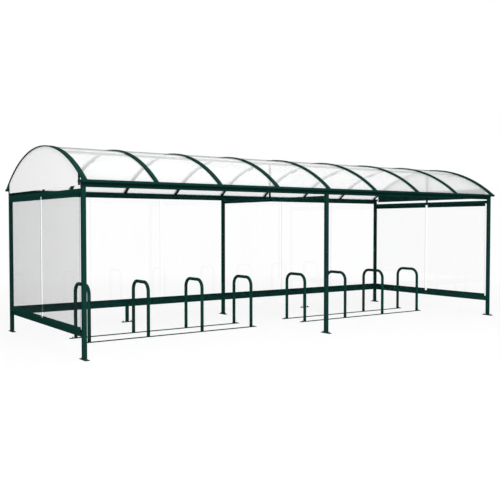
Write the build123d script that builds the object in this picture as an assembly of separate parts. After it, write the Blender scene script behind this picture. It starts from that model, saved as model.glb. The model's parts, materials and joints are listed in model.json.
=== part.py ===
from build123d import *
import math
import os

# Free-standing shelter for bicycles: a bolted frame of painted steel tube, a barrel roof of clear sheet
# under bent arches, gutters along both eaves, clear walls on the back and both ends, and two floor racks.
# Millimetres. The origin is on the ground at the middle of the plan: X runs along it, Y to its back, Z up.

# Frame layout
bay_count = 2
bay_length = 3750
frame_depth = 2800
tube = 50
tube_wall = 3
eaves_height = 2090
plate_thickness = 8
plate_long = 190
plate_short = 56
plate_bolt_spacing = 140
plate_hole_radius = 7

# Lower supports under the middle of each back bay
leg_tube = 45
leg_wall = 3

# Ties between the front and back posts, and the upright on the middle of each
tie_drop = 68
prop_tube = 25
prop_wall = 2

# Roof: every layer follows one arc from gutter to gutter, set by the top of the arches and the gutter lips
roof_rise = 548
lip_gap = 4.5
arch_width = 50
arch_depth = 25
arches_per_bay = 4
arch_end_gap = 14
arch_heel = 23
arch_foot_length = 76
arch_foot_thickness = 5
sheet_thickness = 4
sheet_edge_gap = 8
sheet_end_gap = 40
clamp_thickness = 2.7

# Denser sheets over the crown, on top of the roof sheets between the arches
crown_sheet_reach = 600
crown_sheet_thickness = 15

# Plates under the splices in each arch
splice_line = 560
splice_length = 120
splice_depth = 22

# Purlin under the crown
purlin_width = 50
purlin_height = 40
purlin_wall = 3

# Gutters
gutter_overhang = 58
gutter_end_overhang = 29
gutter_upstand = 33
gutter_floor_width = 118
gutter_wall = 3
gutter_chamfer = 10
gutter_inner_upstand = 12

# Gable under each end arch
gable_half_width = 1308
gable_bottom = 2060
gable_panel_thickness = 4
gable_panel_drop = 3
gable_trim_thickness = 15.4
gable_trim_depth = 13
gable_chord_bottom = 2065
gable_chord_height = 160
gable_chord_wall = 3

# Wall sheets, the rails under them and the channels that grip their lower and upper edges
wall_gap = 58
wall_sheet_thickness = 4
back_sheets_per_bay = 3
end_sheet_count = 2
rail_bottom = 261
rail_height = 80
rail_wall = 3
channel_bottom = 321
channel_height = 57
channel_web = 8
end_channel_width = 12
top_channel_height = 46
bead_height = 12
bead_depth = 16
bead_web = 3

# Racks
hoops_per_rack = 4
hoop_pitch = 890
hoop_height = 800
hoop_tube = 48.3
hoop_tube_flats = 12
hoop_leg_spacing = 480
hoop_bend = 130
rack_rail_length = 2850
rack_rail_width = 50
rack_rail_thickness = 8
rack_bolt_inset = 45
rack_hole_radius = 6

# Clearances between bolted or slotted pieces
seat = 0.3

# Lines of the frame
half_length = bay_count * bay_length / 2
half_depth = frame_depth / 2
half_tube = tube / 2
post_lines = [i * bay_length - half_length for i in range(bay_count + 1)]
bay_middles = [i * bay_length - half_length + bay_length / 2 for i in range(bay_count)]
beam_bottom = eaves_height - tube
tie_top = eaves_height - tie_drop
tie_bottom = tie_top - tube
gutter_half_length = half_length + half_tube + gutter_end_overhang
gutter_face = half_depth + half_tube + gutter_overhang
arch_pitch = bay_length / arches_per_bay
arch_lines = [i * arch_pitch - half_length for i in range(bay_count * arches_per_bay + 1)]

# Arc that carries the top of the arches down to the inside of both gutter lips
roof_top = eaves_height + roof_rise
lip_top = eaves_height + seat + gutter_upstand
roof_edge = gutter_face - gutter_wall - lip_gap
edge_fall = roof_top - lip_top
roof_radius = (roof_edge**2 + edge_fall**2) / (2 * edge_fall)
roof_centre = roof_top - roof_radius

# Depths of the roof's layers below the top of the arches
sheet_outer = arch_depth + seat
sheet_inner = sheet_outer + sheet_thickness
clamp_outer = sheet_inner + seat
clamp_inner = clamp_outer + clamp_thickness
under_clamp = clamp_inner + seat

# How far the arches and the sheets reach into the gutters, and the levels of the foot plates
arch_reach = gutter_face - gutter_wall - arch_end_gap
sheet_reach = gutter_face - gutter_wall - sheet_end_gap
foot_bottom = eaves_height + seat + gutter_wall + seat
foot_top = foot_bottom + arch_foot_thickness

# Levels of the crown purlin
purlin_top = roof_top - under_clamp
purlin_bottom = purlin_top - purlin_height

# Line of the wall sheets outside the middle of the posts, and the slot each sheet stands in
sheet_line = (seat + half_tube) / 2
slot_half = wall_sheet_thickness / 2 + seat
sheet_half = wall_sheet_thickness / 2


def box(x0, x1, y0, y1, z0, z1):
    """A rectangular block between two corners."""
    middle = ((x0 + x1) / 2, (y0 + y1) / 2, (z0 + z1) / 2)
    return Pos(*middle) * Box(abs(x1 - x0), abs(y1 - y0), z1 - z0)


def hollow(x0, x1, y0, y1, z0, z1, wall, along):
    """A rectangular tube with open ends along X, Y or Z."""
    in_x = 0 if along == "x" else wall
    in_y = 0 if along == "y" else wall
    in_z = 0 if along == "z" else wall
    inner = box(x0 + in_x, x1 - in_x, y0 + in_y, y1 - in_y, z0 + in_z, z1 - in_z)
    return box(x0, x1, y0, y1, z0, z1) - inner


def upright(x, y, z0, z1, side, wall):
    """A square tube standing on the point x, y."""
    half = side / 2
    return hollow(x - half, x + half, y - half, y + half, z0, z1, wall, "z")


def footed_tube(x, y, top, side, wall, along):
    """An upright tube on a base plate with a bolt hole at each end of the plate."""
    half_x = plate_long / 2 if along == "x" else plate_short / 2
    half_y = plate_short / 2 if along == "x" else plate_long / 2
    plate = box(x - half_x, x + half_x, y - half_y, y + half_y, 0, plate_thickness)
    for way in (-1, 1):
        shift = way * plate_bolt_spacing / 2
        hole_x = x + shift if along == "x" else x
        hole_y = y if along == "x" else y + shift
        plate -= Pos(hole_x, hole_y, plate_thickness / 2) * Cylinder(plate_hole_radius, plate_thickness)
    return plate + upright(x, y, plate_thickness, top, side, wall)


def roof_level(depth, width):
    """The height of the roof arc at a depth, at a width from the middle."""
    return roof_centre + math.sqrt((roof_radius - depth) ** 2 - width**2)


def roof_arc(depth, width):
    """The arc of the roof at a depth, out to a width on both sides."""
    level = roof_level(depth, width)
    return ThreePointArc((-width, level), (0, roof_level(depth, 0)), (width, level))


def along_x(edges, x0, x1):
    """The solid of a closed outline of Y and Z, from x0 to x1."""
    face = Plane.YZ * make_face(Wire(edges))
    return Pos(x0, 0, 0) * extrude(face, amount=x1 - x0, dir=(1, 0, 0))


def roof_band(outer, inner, width, x0, x1):
    """A layer of the roof between two depths, cut upright at a width on both sides."""
    outside = roof_arc(outer, width)
    inside = roof_arc(inner, width)
    return along_x([outside, Line(outside @ 1, inside @ 1), inside, Line(inside @ 0, outside @ 0)], x0, x1)


def under_roof(depth, width, bottom, x0, x1):
    """The space under the roof arc at a depth, down to a level and out to a width on both sides."""
    top = roof_arc(depth, width)
    outline = Polyline(top @ 1, (width, bottom), (-width, bottom), top @ 0)
    return along_x([top, *outline.edges()], x0, x1)


def end_channel(way, span, levels, slot_levels):
    """A bar along an end wall with a slot for the sheet through its length."""
    middle = way * (half_length + sheet_line)
    half = end_channel_width / 2
    slot = box(middle - slot_half, middle + slot_half, *span, *slot_levels)
    return box(middle - half, middle + half, *span, *levels) - slot


def end_sill(way, span):
    """The channel under a sheet of an end wall, with a foot that lies against the rail."""
    inside = way * (half_length + seat)
    middle = way * (half_length + sheet_line)
    bar = end_channel(way, span, low_levels, low_slot)
    return bar + box(inside, middle - way * slot_half, *span, channel_bottom, rail_top)


def back_channel(span, depth, levels, slot_levels):
    """A bar along the back wall with a slot for the sheets through its length."""
    middle = half_depth + sheet_line
    slot = box(*span, middle - slot_half, middle + slot_half, *slot_levels)
    return box(*span, middle - depth / 2, middle + depth / 2, *levels) - slot


def sheet_spans(start, end, count):
    """Spans of equal sheets from start down to end, with a gap after each."""
    pitch = (start - end) / count
    return [(start - i * pitch - pitch + wall_gap, start - i * pitch) for i in range(count)]


def gutter_points(way):
    """The outline of a gutter: floor, sloped outer corner, outer lip and low inner lip."""
    low = eaves_height + seat
    high = low + gutter_upstand
    outside = gutter_face
    inside = gutter_face - gutter_floor_width
    bend = gutter_wall / 2
    points = [
        (inside, low),
        (outside - gutter_chamfer, low),
        (outside, low + gutter_chamfer),
        (outside, high),
        (outside - gutter_wall, high),
        (outside - gutter_wall, low + gutter_chamfer + bend),
        (outside - gutter_chamfer - bend, low + gutter_wall),
        (inside + gutter_wall, low + gutter_wall),
        (inside + gutter_wall, low + gutter_inner_upstand),
        (inside, low + gutter_inner_upstand),
    ]
    return [(way * y, z) for y, z in points]


def gutter(way):
    """An open gutter along the front or back eaves with a flat plate over each end."""
    points = gutter_points(way)
    whole = along_x(Polyline(*points, close=True).edges(), -gutter_half_length, gutter_half_length)
    plate = [*points[:4], (points[0][0], points[3][1])]
    for x0 in (-gutter_half_length, gutter_half_length - gutter_wall):
        whole += along_x(Polyline(*plate, close=True).edges(), x0, x0 + gutter_wall)
    return whole


def hoop(x, bottom):
    """A bent tube over two legs, one on each rack rail, its round wall in flats."""
    radius = hoop_tube / 2
    reach = hoop_leg_spacing / 2
    top = hoop_height - radius
    low = top - hoop_bend
    inner = reach - hoop_bend
    turn = hoop_bend * math.sin(math.pi / 4)
    line = [
        Line((-reach, bottom), (-reach, low)),
        ThreePointArc((-reach, low), (-inner - turn, low + turn), (-inner, top)),
        Line((-inner, top), (inner, top)),
        ThreePointArc((inner, top), (inner + turn, low + turn), (reach, low)),
        Line((reach, low), (reach, bottom)),
    ]
    path = Plane.YZ * Wire(line)
    start = Pos(0, -reach, bottom) * RegularPolygon(radius, hoop_tube_flats)
    return Pos(x, 0, 0) * sweep(start, path=path)


def save(name, shapes):
    """Writes one node from one or more solids."""
    solids = []
    for shape in shapes:
        solids.extend(shape.solids())
    whole = solids[0] if len(solids) == 1 else Compound(children=solids)
    export_step(whole, "parts/" + name + ".step")


os.makedirs("parts", exist_ok=True)
rows = {"front": -half_depth, "rear": half_depth}
sides = {"left": -1, "right": 1}
frames = dict(zip(("left", "middle", "right"), post_lines))
bays = dict(zip(("left", "right"), bay_middles))

# Posts
for row, y in rows.items():
    for frame, x in frames.items():
        save("post_" + row + "_" + frame, [footed_tube(x, y, eaves_height, tube, tube_wall, "y")])

# Legs under the middle of the back bottom rails
for bay, x in bays.items():
    save("rear_leg_" + bay, [footed_tube(x, half_depth, rail_bottom - seat, leg_tube, leg_wall, "x")])

# Beams between the tops of the posts, along both eaves
bay_reach = bay_length / 2 - half_tube - seat
for row, y in rows.items():
    beams = []
    for x in bay_middles:
        y0 = y - half_tube
        x0 = x - bay_reach
        x1 = x + bay_reach
        beams.append(hollow(x0, x1, y0, y0 + tube, beam_bottom, eaves_height, tube_wall, "x"))
    save(row + "_beams", beams)

# Ties from front to back, and the uprights on the middle of them, inside the end frames
tie_reach = half_depth - half_tube - seat
uprights = []
for frame, x in frames.items():
    x0 = x - half_tube
    save("tie_" + frame, [hollow(x0, x0 + tube, -tie_reach, tie_reach, tie_bottom, tie_top, tube_wall, "y")])
    inward = (x < 0) - (x > 0)
    line = x + inward * prop_tube / 2
    uprights.append(upright(line, 0, tie_top + seat, purlin_bottom - seat, prop_tube, prop_wall))
save("uprights", uprights)

# Purlin under the crown of the arches
reach = half_length + half_tube
half = purlin_width / 2
save("crown_purlin", [hollow(-reach, reach, -half, half, purlin_bottom, purlin_top, purlin_wall, "x")])

# Gutters
save("front_gutter", [gutter(-1)])
save("rear_gutter", [gutter(1)])

# Arches, cut upright at both ends over a heel block on a foot plate in the gutter
heel_inside = arch_reach - arch_heel
foot_inside = arch_reach - arch_foot_length
for number, x in enumerate(arch_lines, start=1):
    x0 = x - arch_width / 2
    x1 = x + arch_width / 2
    arch = roof_band(0, arch_depth, arch_reach, x0, x1)
    arch -= box(x0, x1, -arch_reach, arch_reach, eaves_height, foot_top)
    heels = under_roof(arch_depth / 2, arch_reach, foot_top, x0, x1)
    arch += heels - box(x0, x1, -heel_inside, heel_inside, foot_top, roof_top)
    for way in (-1, 1):
        arch += box(x0, x1, way * foot_inside, way * arch_reach, foot_bottom, foot_top)
    save("arch_" + str(number), [arch])

# Roof sheets under the arches, each from arch to arch, the end ones out to the ends of the roof
edges = [-half_length - arch_width / 2]
for x in arch_lines[1:-1]:
    edges += [x - sheet_edge_gap / 2, x + sheet_edge_gap / 2]
edges.append(half_length + arch_width / 2)
spans = list(zip(edges[::2], edges[1::2]))
save("roof_sheets", [roof_band(sheet_outer, sheet_inner, sheet_reach, *span) for span in spans])

# Strips under the sheets that clamp them to the arches, and plates under the splices of the arches
half = arch_width / 2
clamps = [roof_band(clamp_outer, clamp_inner, sheet_reach, x - half, x + half) for x in arch_lines]
save("roof_clamp_strips", clamps)
plates = []
plate_outside = splice_line + splice_length / 2
plate_inside = splice_line - splice_length / 2
for x in arch_lines:
    plate = roof_band(under_clamp, under_clamp + splice_depth, plate_outside, x - half, x + half)
    plates.append(plate - box(x - half, x + half, -plate_inside, plate_inside, eaves_height, roof_top))
save("arch_splice_plates", plates)

# Crown sheets on top of the roof sheets, between the arches
crown_outer = arch_depth - crown_sheet_thickness
sheets = []
for x0, x1 in zip(arch_lines, arch_lines[1:]):
    ends = (x0 + half + seat, x1 - half - seat)
    sheets.append(roof_band(crown_outer, arch_depth, crown_sheet_reach, *ends))
save("crown_sheets", sheets)

# Gable panels outside the end arches, the trim round the curved edge of each, and the channel behind it
chord_top = gable_chord_bottom + gable_chord_height
for side, way in sides.items():
    x0 = way * (half_length + half_tube + seat)
    x1 = x0 + way * gable_panel_thickness
    panel = under_roof(gable_panel_drop, gable_half_width, gable_bottom, min(x0, x1), max(x0, x1))
    save("gable_panel_" + side, [panel])
    x0 = x1 + way * seat
    x1 = x0 + way * gable_trim_thickness
    save("gable_trim_" + side, [roof_band(0, gable_trim_depth, arch_reach, min(x0, x1), max(x0, x1))])
    x0 = way * (half_length + seat)
    x1 = way * (half_length + half_tube)
    chord = under_roof(under_clamp, gable_half_width, gable_chord_bottom, min(x0, x1), max(x0, x1))
    chord &= box(x0, x1, -gable_half_width, gable_half_width, gable_chord_bottom, chord_top)
    pocket_reach = gable_half_width - 2 * gable_chord_wall
    pocket_bottom = gable_chord_bottom + gable_chord_wall
    pocket_top = chord_top - gable_chord_wall
    pocket_x = x0 + way * gable_chord_wall
    depth = under_clamp + gable_chord_wall
    pocket = under_roof(depth, pocket_reach, pocket_bottom, min(pocket_x, x1), max(pocket_x, x1))
    chord -= pocket & box(pocket_x, x1, -pocket_reach, pocket_reach, pocket_bottom, pocket_top)
    save("gable_chord_" + side, [chord])

# End walls
rail_top = rail_bottom + rail_height
low_levels = (channel_bottom, channel_bottom + channel_height)
low_slot = (channel_bottom + channel_web, channel_bottom + channel_height)
high_levels = (tie_bottom - seat - top_channel_height, tie_bottom - seat)
high_slot = (high_levels[0], high_levels[1] - channel_web)
end_levels = (low_slot[0] + seat, high_slot[1] - seat)
end_spans = sheet_spans(tie_reach, half_tube - half_depth, end_sheet_count)
for side, way in sides.items():
    line = way * half_length
    x0 = min(line, line - way * half_tube)
    rail = hollow(x0, x0 + half_tube, -tie_reach, tie_reach, rail_bottom, rail_top, rail_wall, "y")
    middle = line + way * sheet_line
    x0 = middle - sheet_half
    heads = [end_channel(way, span, high_levels, high_slot) for span in end_spans]
    sheets = [box(x0, x0 + wall_sheet_thickness, *span, *end_levels) for span in end_spans]
    save("end_rail_" + side, [rail])
    save("end_bottom_channels_" + side, [end_sill(way, span) for span in end_spans])
    save("end_top_channels_" + side, heads)
    save("end_sheets_" + side, sheets)

# Back wall
bead_levels = (beam_bottom - seat - bead_height, beam_bottom - seat)
bead_slot = (bead_levels[0], bead_levels[1] - bead_web)
back_levels = (low_slot[0] + seat, bead_slot[1] - seat)
rails = []
bay_spans = []
back_spans = []
for x in bay_middles:
    y0 = half_depth - half_tube
    x0 = x - bay_reach
    x1 = x + bay_reach
    rails.append(hollow(x0, x1, y0, half_depth, rail_bottom, rail_top, rail_wall, "x"))
    bay_spans.append((x0, x1))
    back_spans += sheet_spans(x1, x0 - seat, back_sheets_per_bay)
low_depth = half_tube - seat
y0 = half_depth + sheet_line - sheet_half
save("rear_rails", rails)
save("rear_bottom_channels", [back_channel(span, low_depth, low_levels, low_slot) for span in bay_spans])
save("rear_top_beads", [back_channel(span, bead_depth, bead_levels, bead_slot) for span in bay_spans])
save("rear_sheets", [box(*span, y0, y0 + wall_sheet_thickness, *back_levels) for span in back_spans])

# Racks: two flat rails on the ground and four hoops across them in each bay
rail_reach = rack_rail_length / 2
bolt_reach = rail_reach - rack_bolt_inset
for bay, x in bays.items():
    rails = []
    for y in (-hoop_leg_spacing / 2, hoop_leg_spacing / 2):
        y0 = y - rack_rail_width / 2
        bar = box(x - rail_reach, x + rail_reach, y0, y0 + rack_rail_width, 0, rack_rail_thickness)
        for hole_x in (x - bolt_reach, x + bolt_reach):
            bar -= Pos(hole_x, y, rack_rail_thickness / 2) * Cylinder(rack_hole_radius, rack_rail_thickness)
        rails.append(bar)
    save("rack_rails_" + bay, rails)
    first = x - (hoops_per_rack - 1) * hoop_pitch / 2
    hoops = [hoop(first + i * hoop_pitch, rack_rail_thickness + seat) for i in range(hoops_per_rack)]
    save("rack_hoops_" + bay, hoops)
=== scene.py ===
import bpy
import bmesh
import json
import math
import random
from mathutils import Matrix, Vector


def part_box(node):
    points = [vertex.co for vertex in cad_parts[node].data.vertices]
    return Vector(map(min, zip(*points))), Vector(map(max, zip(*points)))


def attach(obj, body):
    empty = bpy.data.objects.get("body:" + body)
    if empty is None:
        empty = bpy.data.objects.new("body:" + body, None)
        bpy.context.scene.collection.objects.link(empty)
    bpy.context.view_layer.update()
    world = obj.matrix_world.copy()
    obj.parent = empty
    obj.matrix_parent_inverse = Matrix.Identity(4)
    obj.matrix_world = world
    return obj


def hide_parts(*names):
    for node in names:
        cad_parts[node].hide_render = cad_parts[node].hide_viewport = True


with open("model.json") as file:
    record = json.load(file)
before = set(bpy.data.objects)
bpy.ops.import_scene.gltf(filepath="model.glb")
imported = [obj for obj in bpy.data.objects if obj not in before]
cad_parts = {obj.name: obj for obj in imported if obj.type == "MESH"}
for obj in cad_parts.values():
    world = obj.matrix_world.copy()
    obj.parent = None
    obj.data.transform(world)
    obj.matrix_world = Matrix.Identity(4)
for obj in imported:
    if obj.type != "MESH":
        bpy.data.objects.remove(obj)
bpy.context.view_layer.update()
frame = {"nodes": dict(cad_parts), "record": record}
scene = bpy.context.scene
nodes = frame["nodes"]
ground_bolts = [mount for mount in frame["record"]["mounts"] if mount["kind"] == "bolt_pattern"]


# Camera, in metres and degrees

camera_place = (-7.0446, -9.5440, 1.5939)
camera_tilt = 88.03
camera_turn = -34.88

camera_data = bpy.data.cameras.new("camera")
camera_data.lens = 52.53
camera_data.sensor_width = 36.0
camera = bpy.data.objects.new("camera", camera_data)
camera.location = camera_place
camera.rotation_euler = (math.radians(camera_tilt), 0.0, math.radians(camera_turn))
scene.collection.objects.link(camera)
scene.camera = camera


# Wiring of the finishes

def wire(tree, kind, inputs=None, **settings):
    """Adds a node with its settings, and feeds its inputs from values or from other nodes' outputs."""
    made = tree.nodes.new(kind)
    for name, value in settings.items():
        setattr(made, name, value)
    for name, value in (inputs or {}).items():
        if isinstance(value, bpy.types.NodeSocket):
            tree.links.new(value, made.inputs[name])
        else:
            made.inputs[name].default_value = value
    return made


def maths(tree, operation, first, second, clamp=False):
    """One sum on two numbers."""
    made = wire(tree, "ShaderNodeMath", {0: first, 1: second}, operation=operation, use_clamp=clamp)
    return made.outputs[0]


def scaled(tree, value, share):
    """A share of a number."""
    return maths(tree, "MULTIPLY", value, share)


def spread(tree, value, low, high, to_low=0.0, to_high=1.0, smooth=False):
    """A number carried from one span to another and held inside it."""
    kind = "SMOOTHSTEP" if smooth else "LINEAR"
    inputs = {"Value": value, "From Min": low, "From Max": high, "To Min": to_low, "To Max": to_high}
    return wire(tree, "ShaderNodeMapRange", inputs, interpolation_type=kind).outputs["Result"]


def between(tree, share, first, second):
    """A number a share of the way from one to another."""
    return spread(tree, share, 0.0, 1.0, first, second)


def blend_colours(tree, share, first, second):
    """Two colours mixed by a share."""
    mixed = wire(tree, "ShaderNodeMix", data_type="RGBA")
    for index, value in ((0, share), (6, first), (7, second)):
        if isinstance(value, bpy.types.NodeSocket):
            tree.links.new(value, mixed.inputs[index])
        else:
            mixed.inputs[index].default_value = value
    return mixed.outputs[2]


def cloud(tree, place, scale, detail, roughness, stretch=(1.0, 1.0, 1.0)):
    """Soft noise at a scale in patches a metre, drawn out by a stretch along each axis."""
    pulled = wire(tree, "ShaderNodeMapping", {"Vector": place, "Scale": stretch}).outputs[0]
    inputs = {"Vector": pulled, "Scale": scale, "Detail": detail, "Roughness": roughness}
    return wire(tree, "ShaderNodeTexNoise", inputs).outputs["Fac"]


def height_of(tree, vector):
    """The Z of a place or a direction."""
    return wire(tree, "ShaderNodeSeparateXYZ", {0: vector}).outputs["Z"]


def effect(name, takes, gives):
    """An empty effect, with the values it is given and the results it makes."""
    group = bpy.data.node_groups.new(name, "ShaderNodeTree")
    for label, kind, value in takes:
        socket = group.interface.new_socket(label, in_out="INPUT", socket_type="NodeSocket" + kind)
        socket.default_value = value
    for label, kind in gives:
        group.interface.new_socket(label, in_out="OUTPUT", socket_type="NodeSocket" + kind)
    given = group.nodes.new("NodeGroupInput")
    made = group.nodes.new("NodeGroupOutput")
    return group, given.outputs, made.inputs


def make_weathered_coat():
    """Tone, dust, splashes, rubbed spots and orange peel of a coat on metal or board left outdoors."""
    takes = [
        ("Coat", "Color", (0.01, 0.03, 0.03, 1.0)),
        ("Faded", "Color", (0.03, 0.06, 0.05, 1.0)),
        ("Dust", "Color", (0.25, 0.24, 0.2, 1.0)),
        ("Rubbed", "Color", (0.1, 0.12, 0.11, 1.0)),
        ("Fading", "Float", 0.4),
        ("Dustiness", "Float", 0.3),
        ("Rubbing", "Float", 0.1),
        ("Splash Height", "Float", 0.35),
        ("Base Roughness", "Float", 0.4),
    ]
    gives = [("Color", "Color"), ("Roughness", "Float"), ("Height", "Float")]
    group, given, made = effect("weathered_coat", takes, gives)
    drawn_to_runs = (1.0, 1.0, 0.06)
    drawn_to_rubs = (1.0, 1.0, 0.45)
    place = wire(group, "ShaderNodeTexCoord").outputs["Object"]
    facing = wire(group, "ShaderNodeNewGeometry").outputs["Normal"]

    patches = cloud(group, place, scale=1.7, detail=4.0, roughness=0.6)
    patches = spread(group, patches, low=0.35, high=0.68)
    runs = cloud(group, place, scale=16.0, detail=4.0, roughness=0.6, stretch=drawn_to_runs)
    runs = spread(group, runs, low=0.42, high=0.72)
    fading = maths(group, "ADD", patches, scaled(group, runs, 0.6))
    fading = maths(group, "MULTIPLY", fading, given["Fading"], clamp=True)

    grain = cloud(group, place, scale=70.0, detail=5.0, roughness=0.65)
    specks = spread(group, grain, low=0.52, high=0.66)
    level = height_of(group, place)
    near_ground = spread(group, level, low=0.0, high=given["Splash Height"], to_low=1.0, to_high=0.0)
    splash = maths(group, "MULTIPLY", near_ground, specks)
    upward = spread(group, height_of(group, facing), low=0.35, high=0.95)
    thickness = spread(group, grain, low=0.35, high=0.7, to_low=0.35)
    settled = maths(group, "MULTIPLY", upward, thickness)
    dust = maths(group, "ADD", settled, splash)
    dust = maths(group, "MULTIPLY", dust, given["Dustiness"], clamp=True)

    rubs = cloud(group, place, scale=26.0, detail=6.0, roughness=0.72, stretch=drawn_to_rubs)
    rubs = spread(group, rubs, low=0.62, high=0.7)
    rubbed = maths(group, "MULTIPLY", rubs, given["Rubbing"], clamp=True)

    colour = blend_colours(group, fading, given["Coat"], given["Faded"])
    colour = blend_colours(group, rubbed, colour, given["Rubbed"])
    colour = blend_colours(group, dust, colour, given["Dust"])
    rough = maths(group, "ADD", given["Base Roughness"], scaled(group, fading, 0.12))
    rough = maths(group, "ADD", rough, scaled(group, dust, 0.5), clamp=True)
    rough = maths(group, "SUBTRACT", rough, scaled(group, rubbed, 0.08), clamp=True)
    peel = cloud(group, place, scale=420.0, detail=2.0, roughness=0.5)
    height = maths(group, "ADD", scaled(group, peel, 0.5), scaled(group, specks, 0.2))
    group.links.new(colour, made["Color"])
    group.links.new(rough, made["Roughness"])
    group.links.new(height, made["Height"])
    return group


def make_weathered_sheet():
    """Film, dried runs, dots and faint waves on a plastic sheet left outdoors."""
    takes = [
        ("Sheet", "Color", (0.98, 0.99, 0.985, 1.0)),
        ("Film", "Color", (0.8, 0.82, 0.8, 1.0)),
        ("Filming", "Float", 0.3),
        ("Clear Roughness", "Float", 0.02),
        ("Film Roughness", "Float", 0.3),
    ]
    gives = [("Color", "Color"), ("Roughness", "Float"), ("Film", "Float"), ("Height", "Float")]
    group, given, made = effect("weathered_sheet", takes, gives)
    drawn_to_runs = (1.0, 1.0, 0.05)
    place = wire(group, "ShaderNodeTexCoord").outputs["Object"]

    patches = cloud(group, place, scale=1.1, detail=4.0, roughness=0.55)
    patches = spread(group, patches, low=0.3, high=0.75)
    runs = cloud(group, place, scale=11.0, detail=5.0, roughness=0.6, stretch=drawn_to_runs)
    runs = spread(group, runs, low=0.45, high=0.75)
    dots = cloud(group, place, scale=95.0, detail=3.0, roughness=0.6)
    dots = spread(group, dots, low=0.6, high=0.72)
    film = maths(group, "ADD", scaled(group, patches, 0.55), scaled(group, runs, 0.45))
    film = maths(group, "ADD", film, scaled(group, dots, 0.25))
    film = maths(group, "MULTIPLY", film, given["Filming"], clamp=True)

    colour = blend_colours(group, film, given["Sheet"], given["Film"])
    rougher = maths(group, "SUBTRACT", given["Film Roughness"], given["Clear Roughness"])
    rough = maths(group, "MULTIPLY", film, rougher)
    rough = maths(group, "ADD", rough, given["Clear Roughness"], clamp=True)
    waves = cloud(group, place, scale=2.6, detail=2.0, roughness=0.4)
    group.links.new(colour, made["Color"])
    group.links.new(rough, made["Roughness"])
    group.links.new(film, made["Film"])
    group.links.new(waves, made["Height"])
    return group


weathered_coat = make_weathered_coat()
weathered_sheet = make_weathered_sheet()


# Finishes

peel_strength = 0.5
peel_depth = 0.0002
wave_strength = 0.15
wave_depth = 0.002


def grey(level):
    """An even grey, from 0 for black to 1 for white."""
    return (level, level, level, 1.0)


white = grey(1.0)


def finish_called(name):
    """A new finish with an empty tree and its output."""
    made = bpy.data.materials.new(name)
    made.use_nodes = True
    made.node_tree.nodes.clear()
    return made, made.node_tree, made.node_tree.nodes.new("ShaderNodeOutputMaterial")


def placed_effect(tree, group, values):
    """An effect placed in a finish with its own values."""
    made = wire(tree, "ShaderNodeGroup", node_tree=group)
    for name, value in values.items():
        made.inputs[name].default_value = value
    return made.outputs


def relief(tree, height, strength, depth):
    """Fine hills and hollows on a face."""
    inputs = {"Strength": strength, "Distance": depth, "Height": height}
    return wire(tree, "ShaderNodeBump", inputs).outputs[0]


def matt(tree, colour):
    """A matt shader of one colour."""
    return wire(tree, "ShaderNodeBsdfDiffuse", {"Color": colour}).outputs[0]


def see_through(tree, colour):
    """A shader that lets light straight on, tinted by a colour."""
    return wire(tree, "ShaderNodeBsdfTransparent", {"Color": colour}).outputs[0]


def glowing(tree, strength):
    """A shader that gives white light of its own."""
    return wire(tree, "ShaderNodeEmission", {"Color": white, "Strength": strength}).outputs[0]


def mixed_shaders(tree, share, first, second):
    """Two shaders mixed by a share."""
    return wire(tree, "ShaderNodeMixShader", {0: share, 1: first, 2: second}).outputs[0]


def let_lamps_through(tree, output, sheet, colour):
    """Finishes a sheet so that a lamp's light goes straight on through it, tinted by a colour."""
    lamps = wire(tree, "ShaderNodeLightPath").outputs["Is Shadow Ray"]
    whole = mixed_shaders(tree, lamps, sheet, see_through(tree, colour))
    tree.links.new(whole, output.inputs["Surface"])


def make_coated_surface(name, values, metallic, shine):
    """Painted steel, plated steel or coated board with the weathered coat's pattern."""
    made, tree, output = finish_called(name)
    pattern = placed_effect(tree, weathered_coat, values)
    inputs = {
        "Base Color": pattern["Color"],
        "Roughness": pattern["Roughness"],
        "Metallic": metallic,
        "Specular IOR Level": shine,
        "Normal": relief(tree, pattern["Height"], peel_strength, peel_depth),
    }
    shader = wire(tree, "ShaderNodeBsdfPrincipled", inputs)
    tree.links.new(shader.outputs[0], output.inputs["Surface"])
    return made


green_paint_tones = {
    "Coat": (0.0048, 0.0300, 0.0244, 1.0),
    "Faded": (0.0078, 0.0390, 0.0325, 1.0),
    "Dust": (0.0200, 0.0400, 0.0340, 1.0),
    "Rubbed": (0.0280, 0.0500, 0.0440, 1.0),
    "Fading": 0.4,
    "Dustiness": 0.2,
    "Rubbing": 0.12,
    "Splash Height": 0.3,
    "Base Roughness": 0.45,
}
rack_paint_tones = dict(green_paint_tones, Rubbing=0.4)
zinc_plating_tones = {
    "Coat": (0.10, 0.105, 0.11, 1.0),
    "Faded": (0.07, 0.072, 0.075, 1.0),
    "Dust": (0.09, 0.086, 0.078, 1.0),
    "Rubbed": (0.17, 0.175, 0.18, 1.0),
    "Fading": 0.7,
    "Dustiness": 0.35,
    "Rubbing": 0.3,
    "Splash Height": 0.1,
    "Base Roughness": 0.34,
}
gable_board_tones = {
    "Coat": (0.93, 0.93, 0.93, 1.0),
    "Faded": (0.88, 0.885, 0.88, 1.0),
    "Dust": (0.62, 0.62, 0.58, 1.0),
    "Rubbed": (0.9, 0.9, 0.9, 1.0),
    "Fading": 0.5,
    "Dustiness": 0.2,
    "Rubbing": 0.1,
    "Splash Height": 0.1,
    "Base Roughness": 0.45,
}
green_paint = make_coated_surface("green_paint", green_paint_tones, metallic=0.0, shine=0.0)
rack_paint = make_coated_surface("rack_paint", rack_paint_tones, metallic=0.0, shine=0.0)
zinc_plating = make_coated_surface("zinc_plating", zinc_plating_tones, metallic=1.0, shine=0.5)
gable_board = make_coated_surface("gable_board", gable_board_tones, metallic=0.0, shine=0.35)


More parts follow.
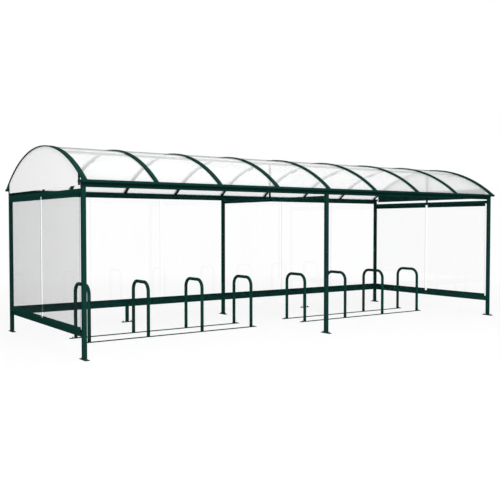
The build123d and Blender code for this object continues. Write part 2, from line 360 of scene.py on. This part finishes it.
def make_clear_sheet(name, bending):
    """Clear wall sheet that mirrors, bends light by its index and lets the lamps through."""
    made, tree, output = finish_called(name)
    tones = {
        "Sheet": (0.992, 0.996, 0.994, 1.0),
        "Film": (0.93, 0.94, 0.935, 1.0),
        "Filming": 0.35,
        "Clear Roughness": 0.0,
        "Film Roughness": 0.05,
    }
    pattern = placed_effect(tree, weathered_sheet, tones)
    inputs = {
        "Base Color": pattern["Color"],
        "Roughness": pattern["Roughness"],
        "Transmission Weight": 1.0,
        "IOR": bending,
        "Normal": relief(tree, pattern["Height"], wave_strength, wave_depth),
    }
    clear = wire(tree, "ShaderNodeBsdfPrincipled", inputs)
    let_lamps_through(tree, output, clear.outputs[0], tones["Film"])
    return made


def make_milky_sheet(name, face_cover, edge_cover, top_share, lamp_share):
    """Milky sheet: what is behind shows straight through a cover of white that thickens at a shallow angle.

    The milk lies in the lower skin. The faces that don't look down hold only a share of it and let all of a
    lamp's light in, and those that look down let a share of that light out.
    """
    made, tree, output = finish_called(name)
    tones = {
        "Sheet": (0.925, 0.93, 0.93, 1.0),
        "Film": (0.885, 0.89, 0.88, 1.0),
        "Filming": 0.2,
        "Clear Roughness": 0.22,
        "Film Roughness": 0.5,
    }
    lower_glow = 0.65
    upper_glow = 0.45
    film_cover = 0.12
    # At a shallow angle what shows through is greyed: partly for the longer path through the sheet, partly
    # as a painted reflection of a darker surround.
    shallow_from = 0.7
    shallow_to = 0.82
    shallow_grey_and_painted_reflection = (0.62, 0.64, 0.64, 1.0)
    pattern = placed_effect(tree, weathered_sheet, tones)

    side = wire(tree, "ShaderNodeNewGeometry").outputs
    turned_over = between(tree, side["Backfacing"], 1.0, -1.0)
    level = maths(tree, "MULTIPLY", height_of(tree, side["True Normal"]), turned_over)
    upper = spread(tree, level, low=-0.3, high=-0.1)

    inputs = {"Base Color": pattern["Color"], "Roughness": pattern["Roughness"], "Specular IOR Level": 0.4}
    front = wire(tree, "ShaderNodeBsdfPrincipled", inputs)
    behind = wire(tree, "ShaderNodeBsdfTranslucent", {"Color": pattern["Color"]})
    glow = between(tree, upper, lower_glow, upper_glow)
    milk = mixed_shaders(tree, glow, front.outputs[0], behind.outputs[0])

    angle = wire(tree, "ShaderNodeLayerWeight", {"Blend": 0.35}).outputs["Facing"]
    # Painted reflection: the see-through share turns grey at a shallow angle, and only partly because the
    # path through the sheet is longer.
    through_tint_and_painted_reflection = blend_colours(tree, spread(tree, angle, shallow_from, shallow_to), white, shallow_grey_and_painted_reflection)
    cover = between(tree, angle, face_cover, edge_cover)
    cover = maths(tree, "ADD", cover, scaled(tree, pattern["Film"], film_cover), clamp=True)
    cover = maths(tree, "MULTIPLY", cover, between(tree, upper, 1.0, top_share))
    sheet = mixed_shaders(tree, cover, see_through(tree, through_tint_and_painted_reflection), milk)
    lamp_tint = blend_colours(tree, upper, grey(lamp_share), white)
    let_lamps_through(tree, output, sheet, lamp_tint)
    return made


clear_sheet = make_clear_sheet("clear_sheet", bending=1.5)
calm_sheet = make_clear_sheet("calm_sheet", bending=1.28)
milky_cover = {"face_cover": 0.14, "edge_cover": 0.7, "top_share": 0.8, "lamp_share": 0.1}
opal_cover = {"face_cover": 0.85, "edge_cover": 0.95, "top_share": 0.1, "lamp_share": 0.3}
milky_sheet = make_milky_sheet("milky_sheet", **milky_cover)
opal_sheet = make_milky_sheet("opal_sheet", **opal_cover)

finish_of_slot = {
    "painted_steel": green_paint,
    "roof_sheet": milky_sheet,
    "wall_sheet": clear_sheet,
    "gable_panel": gable_board,
}
finish_of_node = {
    "rack_rails_left": rack_paint,
    "rack_rails_right": rack_paint,
    "rack_hoops_left": rack_paint,
    "rack_hoops_right": rack_paint,
    "crown_sheets": opal_sheet,
    "rear_sheets": calm_sheet,
    "end_sheets_right": calm_sheet,
}
for name, node in nodes.items():
    for holder in node.material_slots:
        slot_finish = finish_of_slot[holder.material.name.split(".")[0]]
        holder.material = finish_of_node.get(name, slot_finish)


# Making pieces

seat_gap = 0.0003


def ring(bm, place, radii, height):
    """One closed row of points at a height, with its radius for each step round."""
    row = []
    for step, radius in enumerate(radii):
        angle = 2 * math.pi * step / len(radii)
        point = Vector((radius * math.cos(angle), radius * math.sin(angle), height))
        row.append(bm.verts.new(place @ point))
    return row


def bridge(bm, rows, closed=False, smooth=True):
    """Faces between rows of points, and over both ends unless the rows close on themselves."""
    pairs = list(zip(rows, rows[1:]))
    if closed:
        pairs.append((rows[-1], rows[0]))
    for first, second in pairs:
        count = len(first)
        for step in range(count):
            after = (step + 1) % count
            face = bm.faces.new((first[step], first[after], second[after], second[step]))
            face.smooth = smooth
    if not closed:
        bm.faces.new(list(reversed(rows[0])))
        bm.faces.new(rows[-1])


def turned(bm, place, profile, sides):
    """A solid turned about its axis from a profile of radius and height."""
    bridge(bm, [ring(bm, place, [radius] * sides, height) for radius, height in profile])


def circle(radius, sides):
    """The corners of a round section."""
    angles = [2 * math.pi * step / sides for step in range(sides)]
    return [(radius * math.cos(angle), radius * math.sin(angle)) for angle in angles]


def sweep(bm, line, section):
    """A bar along a line in a plane of constant X, its section given across the line and along X."""
    last = len(line) - 1
    rows = []
    for index, point in enumerate(line):
        before = line[max(index - 1, 0)]
        after = line[min(index + 1, last)]
        along = (after - before).normalized()
        across = Vector((0.0, -along.z, along.y))
        corners = [point + across * out + Vector((aside, 0.0, 0.0)) for out, aside in section]
        rows.append([bm.verts.new(corner) for corner in corners])
    bridge(bm, rows)


def drawn_along(bm, outline, low_x, high_x):
    """A straight bar along X, its outline given in Y and Z."""
    rows = [[bm.verts.new((x, y, z)) for y, z in outline] for x in (low_x, high_x)]
    bridge(bm, rows, smooth=False)


def keep_piece(name, bm, finish):
    """Turns finished mesh work into a piece of the shelter."""
    bmesh.ops.recalc_face_normals(bm, faces=bm.faces)
    mesh = bpy.data.meshes.new(name)
    bm.to_mesh(mesh)
    bm.free()
    mesh.materials.append(finish)
    made = bpy.data.objects.new(name, mesh)
    scene.collection.objects.link(made)
    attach(made, "root")
    return made


# Weld beads, each uneven in its own way

chances = random.Random(7)
weld_size = 0.005
weld_root = 0.001
ring_weld_steps = 44
ring_ripples = 11
side_weld_steps = 14
side_ripple_turn = 2.6
ring_weld_section = ((-0.2, 0.0), (1.0, 0.0), (0.78, 0.42), (0.42, 0.78), (0.0, 1.0), (-0.2, 1.0))
side_weld_section = ((-0.2, 0.0), (1.0, 0.0), (0.75, 0.4), (0.4, 0.75), (0.0, 1.0), (-0.2, 1.0))


def weld_row(bm, foot, away, ripple, section):
    """One section of a weld bead, away from a foot and up from it."""
    corners = [foot + away * (ripple * out) + Vector((0.0, 0.0, ripple * up)) for out, up in section]
    return [bm.verts.new(corner) for corner in corners]


def uneven(turn, swell, chance):
    """The size of a weld bead at a turn of its ripple, with a little chance in it."""
    return weld_size * (1.0 + swell * math.sin(turn) + chance * (chances.random() - 0.5))


def weld_ring(bm, centre, radius):
    """A rippled weld bead round the foot of a round tube."""
    rows = []
    for step in range(ring_weld_steps):
        angle = 2 * math.pi * step / ring_weld_steps
        out = Vector((math.cos(angle), math.sin(angle), 0.0))
        ripple = uneven(angle * ring_ripples, swell=0.12, chance=0.08)
        rows.append(weld_row(bm, centre + out * radius, out, ripple, ring_weld_section))
    bridge(bm, rows, closed=True)


def outward(start, end):
    """The way out of the side of a tube that runs from one corner to the next."""
    side = (end - start).normalized()
    return Vector((side.y, -side.x, 0.0))


def weld_square(bm, centre, half):
    """A rippled weld bead round the foot of a square tube."""
    corners = [Vector((x, y, 0.0)) for x, y in ((-half, -half), (half, -half), (half, half), (-half, half))]
    rows = []
    for index, start in enumerate(corners):
        end = corners[(index + 1) % 4]
        out = outward(start, end)
        for step in range(side_weld_steps):
            away = out
            if step == 0:
                away = (out + outward(corners[index - 1], start)).normalized()
            ripple = uneven(step * side_ripple_turn, swell=0.14, chance=0.1)
            foot = centre + start.lerp(end, step / side_weld_steps)
            rows.append(weld_row(bm, foot, away, ripple, side_weld_section))
    bridge(bm, rows, closed=True)


# Round hoops in place of the flat-sided ones

hoops_in_rack = 4
hoop_radius = 0.02415
hoop_bend = 0.13
hoop_sides = 36
hoop_bend_steps = 14
hoop_leg_steps = 6


def hoop_line(low, high):
    """The middle line of a hoop: up one leg, over two bends, and down the other leg."""
    shoulder = high.z - hoop_bend
    leg = low.z - shoulder
    points = [(low.y, low.z - leg * step / hoop_leg_steps) for step in range(hoop_leg_steps)]
    for middle, start in ((low.y + hoop_bend, math.pi), (high.y - hoop_bend, math.pi / 2)):
        for step in range(hoop_bend_steps + 1):
            angle = start - math.pi / 2 * step / hoop_bend_steps
            points.append((middle + hoop_bend * math.cos(angle), shoulder + hoop_bend * math.sin(angle)))
    points += [(high.y, shoulder + leg * step / hoop_leg_steps) for step in range(1, hoop_leg_steps + 1)]
    return points


def make_hoops(bay):
    """Four round hoops for one rack, and the weld round each foot."""
    name = "rack_hoops_" + bay
    low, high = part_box(name)
    span = high.x - low.x - 2 * hoop_radius
    bm = bmesh.new()
    welds = bmesh.new()
    for index in range(hoops_in_rack):
        x = low.x + hoop_radius + span * index / (hoops_in_rack - 1)
        first = Vector((x, low.y + hoop_radius, low.z))
        second = Vector((x, high.y - hoop_radius, high.z - hoop_radius))
        line = [Vector((x, y, z)) for y, z in hoop_line(first, second)]
        sweep(bm, line, circle(hoop_radius, hoop_sides))
        for y in (first.y, second.y):
            weld_ring(welds, Vector((x, y, low.z - seat_gap)), hoop_radius - weld_root)
    hoops = keep_piece("round_hoops_" + bay, bm, rack_paint)
    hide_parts(name)
    keep_piece("hoop_welds_" + bay, welds, rack_paint)


# Ground anchors and the welds round the feet

mm = 0.001
hole_clearance = 0.001
plate_top = 0.008
post_half = 0.025
leg_half = 0.0225
washer_thickness = 0.0022
washer_edge = 0.0004
nut_steps = 24
nut_profile = ((0.955, 0.0), (1.0, 0.12), (1.0, 0.86), (0.94, 1.0))
thread_pitch = 0.0016
stud_sunk = 0.001
shortest_stud_end = 0.009
longest_stud_end = 0.014


def hex_radii(inner, most):
    """Radii of a hexagon whose corners are held to a circle."""
    radii = []
    for step in range(nut_steps):
        turn = (2 * math.pi * step / nut_steps + math.pi / 6) % (math.pi / 3) - math.pi / 6
        radii.append(min(inner / math.cos(turn), most))
    return radii


def hex_nut(bm, place, across, height):
    """A nut with chamfered corners."""
    inner = across / 2
    corner = inner / math.cos(math.pi / 6)
    rows = [ring(bm, place, hex_radii(inner, corner * most), height * level) for most, level in nut_profile]
    bridge(bm, rows, smooth=False)


def threaded_end(bm, place, radius, length):
    """The end of a stud, with whole turns of thread up to a length."""
    root = radius * 0.9
    tip = radius * 0.82
    turns = int(length / thread_pitch)
    profile = [(radius * 0.98, -stud_sunk)]
    for turn in range(turns):
        base = thread_pitch * turn
        profile.append((root, base + thread_pitch / 8))
        profile.append((radius, base + thread_pitch / 2))
        profile.append((root, base + thread_pitch * 7 / 8))
    profile.append((tip, thread_pitch * (turns + 3 / 8)))
    turned(bm, place, profile, sides=20)


def anchor(bm, place, thread, stud_end):
    """A ground anchor's washer, nut and end of stud, standing on a plate."""
    washer_radius = thread * 1.15
    washer_face = thread * 1.08
    nut_across = thread * 1.7
    nut_height = thread * 0.8
    rim = washer_thickness - washer_edge
    washer_profile = [(washer_radius, 0.0), (washer_radius, rim), (washer_face, washer_thickness)]
    turned(bm, place, washer_profile, sides=28)
    on_washer = place @ Matrix.Translation((0.0, 0.0, washer_thickness))
    hex_nut(bm, on_washer, nut_across, nut_height)
    on_nut = place @ Matrix.Translation((0.0, 0.0, washer_thickness + nut_height))
    threaded_end(bm, on_nut, thread / 2, stud_end)


def make_anchors(mount):
    """The anchors in one pattern of bolt holes."""
    dims = mount["dims"]
    x, y = mount["pos_m"][:2]
    half_x = dims.get("spacing_x_mm", 0.0) * mm / 2
    half_y = dims.get("spacing_y_mm", 0.0) * mm / 2
    thread = 2 * (dims["hole_r_mm"] * mm - hole_clearance)
    bm = bmesh.new()
    spots = []
    for way_x in (-1, 1):
        for way_y in (-1, 1):
            spot = (round(x + way_x * half_x, 5), round(y + way_y * half_y, 5))
            if spot not in spots:
                spots.append(spot)
    for spot in spots:
        turn = Matrix.Rotation(chances.uniform(0, math.pi), 4, "Z")
        stud_end = chances.uniform(shortest_stud_end, longest_stud_end)
        anchor(bm, Matrix.Translation((*spot, plate_top)) @ turn, thread, stud_end)
    keep_piece(mount["name"].replace("_bolts", "_anchors"), bm, zinc_plating)


def make_foot_welds():
    """The welds of the posts and short legs on their base plates."""
    bm = bmesh.new()
    for name in nodes:
        if name.startswith(("post_", "rear_leg_")):
            low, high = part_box(name)
            half = leg_half if name.startswith("rear_leg_") else post_half
            weld_square(bm, Vector(((low.x + high.x) / 2, (low.y + high.y) / 2, plate_top)), half)
    keep_piece("foot_welds", bm, green_paint)


# Softened edges of the bent and welded steel

steel_round = 0.002
softened_families = ("post_", "rear_leg_", "tie_", "end_rail", "rack_rails", "arch_", "gable_trim")
softened_pieces = ("front_beams", "rear_beams", "crown_purlin", "uprights", "rear_rails")


def soften_edges(node):
    """Small rounds along the sharp edges of a steel piece."""
    joined = node.modifiers.new("joined", "WELD")
    joined.merge_threshold = 0.00001
    flat = node.modifiers.new("flat", "DECIMATE")
    flat.decimate_type = "DISSOLVE"
    flat.angle_limit = math.radians(0.5)
    rounds = node.modifiers.new("rounds", "BEVEL")
    rounds.width = steel_round
    rounds.segments = 2
    rounds.limit_method = "ANGLE"
    rounds.angle_limit = math.radians(40)
    rounds.harden_normals = False
    shading = node.modifiers.new("shading", "WEIGHTED_NORMAL")
    shading.keep_sharp = False


# Beads over the upright edges of the clear sheets, and trims over the gutter lips

bead_width = 0.012
bead_half_depth = 0.0045
bead_round = 0.0015
lip_trim_height = 0.012
lip_trim_wall = 0.0016
gutter_lip = 0.003


def make_end_bead(side):
    """The bead over the rear edge of the clear sheet beside the rear post of an end wall."""
    low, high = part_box("end_sheets_" + side)
    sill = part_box("end_bottom_channels_" + side)[1].z + seat_gap
    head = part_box("end_top_channels_" + side)[0].z - seat_gap
    middle = (low.x + high.x) / 2
    left = middle - bead_half_depth
    right = middle + bead_half_depth
    front = high.y - bead_width
    back = high.y
    outline = ((left, front), (right, front), (right, back), (left, back))
    bm = bmesh.new()
    rows = [[bm.verts.new((x, y, z)) for x, y in outline] for z in (sill, head)]
    bridge(bm, rows, smooth=False)
    bmesh.ops.bevel(bm, geom=bm.edges[:], offset=bead_round, segments=2, profile=0.5, affect="EDGES")
    keep_piece("end_bead_" + side, bm, green_paint)


def make_lip_trim(row, way):
    """The folded trim pushed over the outer lip of a gutter."""
    low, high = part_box(row + "_gutter")
    face = high.y if way > 0 else -low.y
    behind = face - gutter_lip
    inner = behind - lip_trim_wall
    outer = face + lip_trim_wall
    top = high.z + lip_trim_wall
    foot = high.z - lip_trim_height
    section = [
        (inner, top), (outer, top), (outer, foot), (face, foot),
        (face, high.z), (behind, high.z), (behind, foot), (inner, foot),
    ]
    bm = bmesh.new()
    drawn_along(bm, [(way * y, z) for y, z in section], low.x, high.x)
    keep_piece(row + "_lip_trim", bm, green_paint)


# Along the curve of the roof: seals and corner plates of the gables, and screws of the clamp strips

trim_depth = 0.013
trim_low, trim_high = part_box("gable_trim_left")
trim_rise = trim_high.z - trim_low.z
roof_radius = (trim_rise ** 2 + trim_high.y ** 2 - trim_depth ** 2) / (2 * (trim_rise - trim_depth))
roof_centre = trim_high.z - roof_radius
seal_top = 0.0004
seal_bottom = 0.0027
seal_lap = 0.0002
seal_steps = 96
corner_width = 0.044
corner_depth = 0.003
arch_count = 9
strip_underside = 0.0323
screw_gap = 0.26
screw_margin = 0.05
screw_radius = 0.0055
screw_height = 0.0035


def roof_level(depth, width):
    """The height of the roof at a depth under its outer curve and a distance from the middle."""
    return roof_centre + math.sqrt((roof_radius - depth) ** 2 - width ** 2)


def make_gable_seal(side):
    """The seal pressed between an end arch and its gable trim, over the edge of the gable board."""
    low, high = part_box("gable_panel_" + side)
    left = low.x - seal_lap
    right = high.x + seal_lap
    corners = ((left, seal_bottom), (right, seal_bottom), (right, seal_top), (left, seal_top))
    bm = bmesh.new()
    rows = []
    for step in range(seal_steps + 1):
        y = low.y + (high.y - low.y) * step / seal_steps
        rows.append([bm.verts.new((x, y, roof_level(depth, y))) for x, depth in corners])
    bridge(bm, rows)
    keep_piece("gable_seal_" + side, bm, green_paint)


def make_gable_corner(side):
    """The narrow plate that carries a gable on from its rear edge to the gutter."""
    low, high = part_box("gable_panel_" + side)
    inner = high.y + seat_gap
    outer = inner + corner_width
    outline = [(inner, low.z), (outer, low.z)]
    outline += [(y, roof_level(corner_depth, y)) for y in (outer, (inner + outer) / 2, inner)]
    bm = bmesh.new()
    drawn_along(bm, outline, low.x, high.x)
    keep_piece("gable_corner_" + side, bm, gable_board)


def dome_head(bm, place, radius, height):
    """A low round screw head on its washer."""
    washer_radius = radius * 1.35
    washer_top = height * 0.25
    rim = 0.3
    steps = 5
    profile = [(washer_radius, 0.0), (washer_radius, washer_top), (radius, height * rim)]
    for step in range(1, steps):
        angle = math.pi / 2 * step / steps
        profile.append((radius * math.cos(angle), height * (rim + (1.0 - rim) * math.sin(angle))))
    turned(bm, place, profile, sides=18)


def make_strip_screws():
    """Round heads under the clamp strips, from the gutters up to the splice plates."""
    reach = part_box("roof_clamp_strips")[1].y - screw_margin
    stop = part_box("arch_splice_plates")[1].y + screw_margin
    up = Vector((0.0, 0.0, 1.0))
    bm = bmesh.new()
    for index in range(1, arch_count + 1):
        low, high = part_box("arch_%d" % index)
        middle = (low.x + high.x) / 2
        for way in (-1, 1):
            width = reach
            while width > stop:
                spot = Vector((middle, way * width, roof_level(strip_underside, width)))
                inward = Vector((0.0, -way * width, roof_centre - spot.z)).normalized()
                turn = up.rotation_difference(inward).to_matrix().to_4x4()
                dome_head(bm, Matrix.Translation(spot) @ turn, screw_radius, screw_height)
                width -= screw_gap
    keep_piece("strip_screws", bm, zinc_plating)


# The added pieces, in the order in which hoops, anchors and foot welds draw their chances

for bay in ("left", "right"):
    make_hoops(bay)
for mount in ground_bolts:
    make_anchors(mount)
make_foot_welds()
for name, node in nodes.items():
    if name in softened_pieces or name.startswith(softened_families):
        soften_edges(node)
for side in ("left", "right"):
    make_end_bead(side)
    make_gable_seal(side)
    make_gable_corner(side)
make_strip_screws()
make_lip_trim("front", -1)
make_lip_trim("rear", 1)


# Floor, backdrop light and lamps

floor_reach = 90.0
floor_drop = 0.0005
shadow_fades_from = 5.0
shadow_gone_at = 13.0
shadow_grey = grey(0.12)
shadow_glow = 0.82
ground_grey = grey(0.45)
flag_place = (-3.9, 1.6, 0.002)
flag_steps = 12
flag_from_degrees = -2
flag_to_degrees = 120
flag_inner = 0.35
flag_fold = 14.0
flag_outer = 16.0
flag_rise = 10.0
flag_dark = (0.015, 0.016, 0.016, 1.0)
soft_light = 0.8


def white_for_eyes(tree):
    """One for rays that see the backdrop: straight to the eye, in a mirror or through a clear sheet."""
    path = wire(tree, "ShaderNodeLightPath").outputs
    seen = maths(tree, "MAXIMUM", path["Is Camera Ray"], path["Is Glossy Ray"])
    return maths(tree, "MAXIMUM", seen, path["Is Transmission Ray"])


def stage_mesh(name, points, faces, finish, place):
    """A plain mesh that stands round the shelter."""
    mesh = bpy.data.meshes.new(name)
    mesh.from_pydata(points, [], faces)
    mesh.materials.append(finish)
    made = bpy.data.objects.new(name, mesh)
    made.location = place
    scene.collection.objects.link(made)
    return made


def make_floor():
    """A wide pale floor that keeps the shelter's soft shadow and turns to plain white far away."""
    made, tree, output = finish_called("pale_floor")
    place = wire(tree, "ShaderNodeTexCoord").outputs["Object"]
    far = wire(tree, "ShaderNodeVectorMath", {0: place}, operation="LENGTH").outputs["Value"]
    away = spread(tree, far, shadow_fades_from, shadow_gone_at, smooth=True)
    near = wire(tree, "ShaderNodeAddShader", {0: matt(tree, shadow_grey), 1: glowing(tree, shadow_glow)})
    shown = mixed_shaders(tree, away, near.outputs[0], glowing(tree, 1.0))
    whole = mixed_shaders(tree, white_for_eyes(tree), matt(tree, ground_grey), shown)
    tree.links.new(whole, output.inputs["Surface"])
    reach = floor_reach
    points = [(-reach, -reach, 0.0), (reach, -reach, 0.0), (reach, reach, 0.0), (-reach, reach, 0.0)]
    floor = stage_mesh("floor", points, [(0, 1, 2, 3)], made, (0.0, 0.0, -floor_drop))


def make_flag():
    """A dark cloth that only mirrors see, so that the clear sheets show their faces.

    It fans out over the ground from the rear corner of the left end, and its far edge is folded up.
    """
    made, tree, output = finish_called("flag_cloth")
    mirrors_passed = wire(tree, "ShaderNodeLightPath").outputs["Glossy Depth"]
    mirrored = maths(tree, "GREATER_THAN", mirrors_passed, 0.5)
    shown = mixed_shaders(tree, mirrored, see_through(tree, white), matt(tree, flag_dark))
    tree.links.new(shown, output.inputs["Surface"])
    points = []
    faces = []
    for step in range(flag_steps + 1):
        degrees = flag_from_degrees + (flag_to_degrees - flag_from_degrees) * step / flag_steps
        angle = math.radians(degrees)
        out = Vector((-math.sin(angle), math.cos(angle), 0.0))
        raised = out * flag_outer + Vector((0.0, 0.0, flag_rise))
        points += [tuple(out * flag_inner), tuple(out * flag_fold), tuple(raised)]
        if step:
            now = 3 * step
            faces += [(now - 3, now, now + 1, now - 2), (now - 2, now + 1, now + 2, now - 1)]
    flag = stage_mesh("flag", points, faces, made, flag_place)
    flag.visible_camera = False
    flag.visible_diffuse = False
    flag.visible_shadow = False


def make_world():
    """Even soft light all round, seen as plain white."""
    world = bpy.data.worlds.new("studio")
    world.use_nodes = True
    tree = world.node_tree
    tree.nodes.clear()
    strength = between(tree, white_for_eyes(tree), soft_light, 1.0)
    sky = wire(tree, "ShaderNodeBackground", {"Color": white, "Strength": strength})
    output = tree.nodes.new("ShaderNodeOutputWorld")
    tree.links.new(sky.outputs[0], output.inputs["Surface"])
    scene.world = world


def make_lamp(name, place, target, size, power):
    """A large soft lamp turned to a target."""
    data = bpy.data.lights.new(name, "AREA")
    data.shape = "SQUARE"
    data.size = size
    data.energy = power
    lamp = bpy.data.objects.new(name, data)
    lamp.location = place
    lamp.rotation_euler = (Vector(target) - Vector(place)).to_track_quat("-Z", "Y").to_euler()
    scene.collection.objects.link(lamp)


make_floor()
make_flag()
make_world()
make_lamp("front_lamp", place=(-4.0, -12.0, 10.5), target=(0.0, 0.0, 1.0), size=8.0, power=1950.0)
make_lamp("left_lamp", place=(-15.0, -2.0, 5.0), target=(-3.8, 0.0, 1.5), size=8.0, power=400.0)
make_lamp("top_lamp", place=(0.0, 0.0, 9.0), target=(0.0, 0.0, 0.0), size=12.0, power=190.0)

scene.view_settings.view_transform = "Standard"
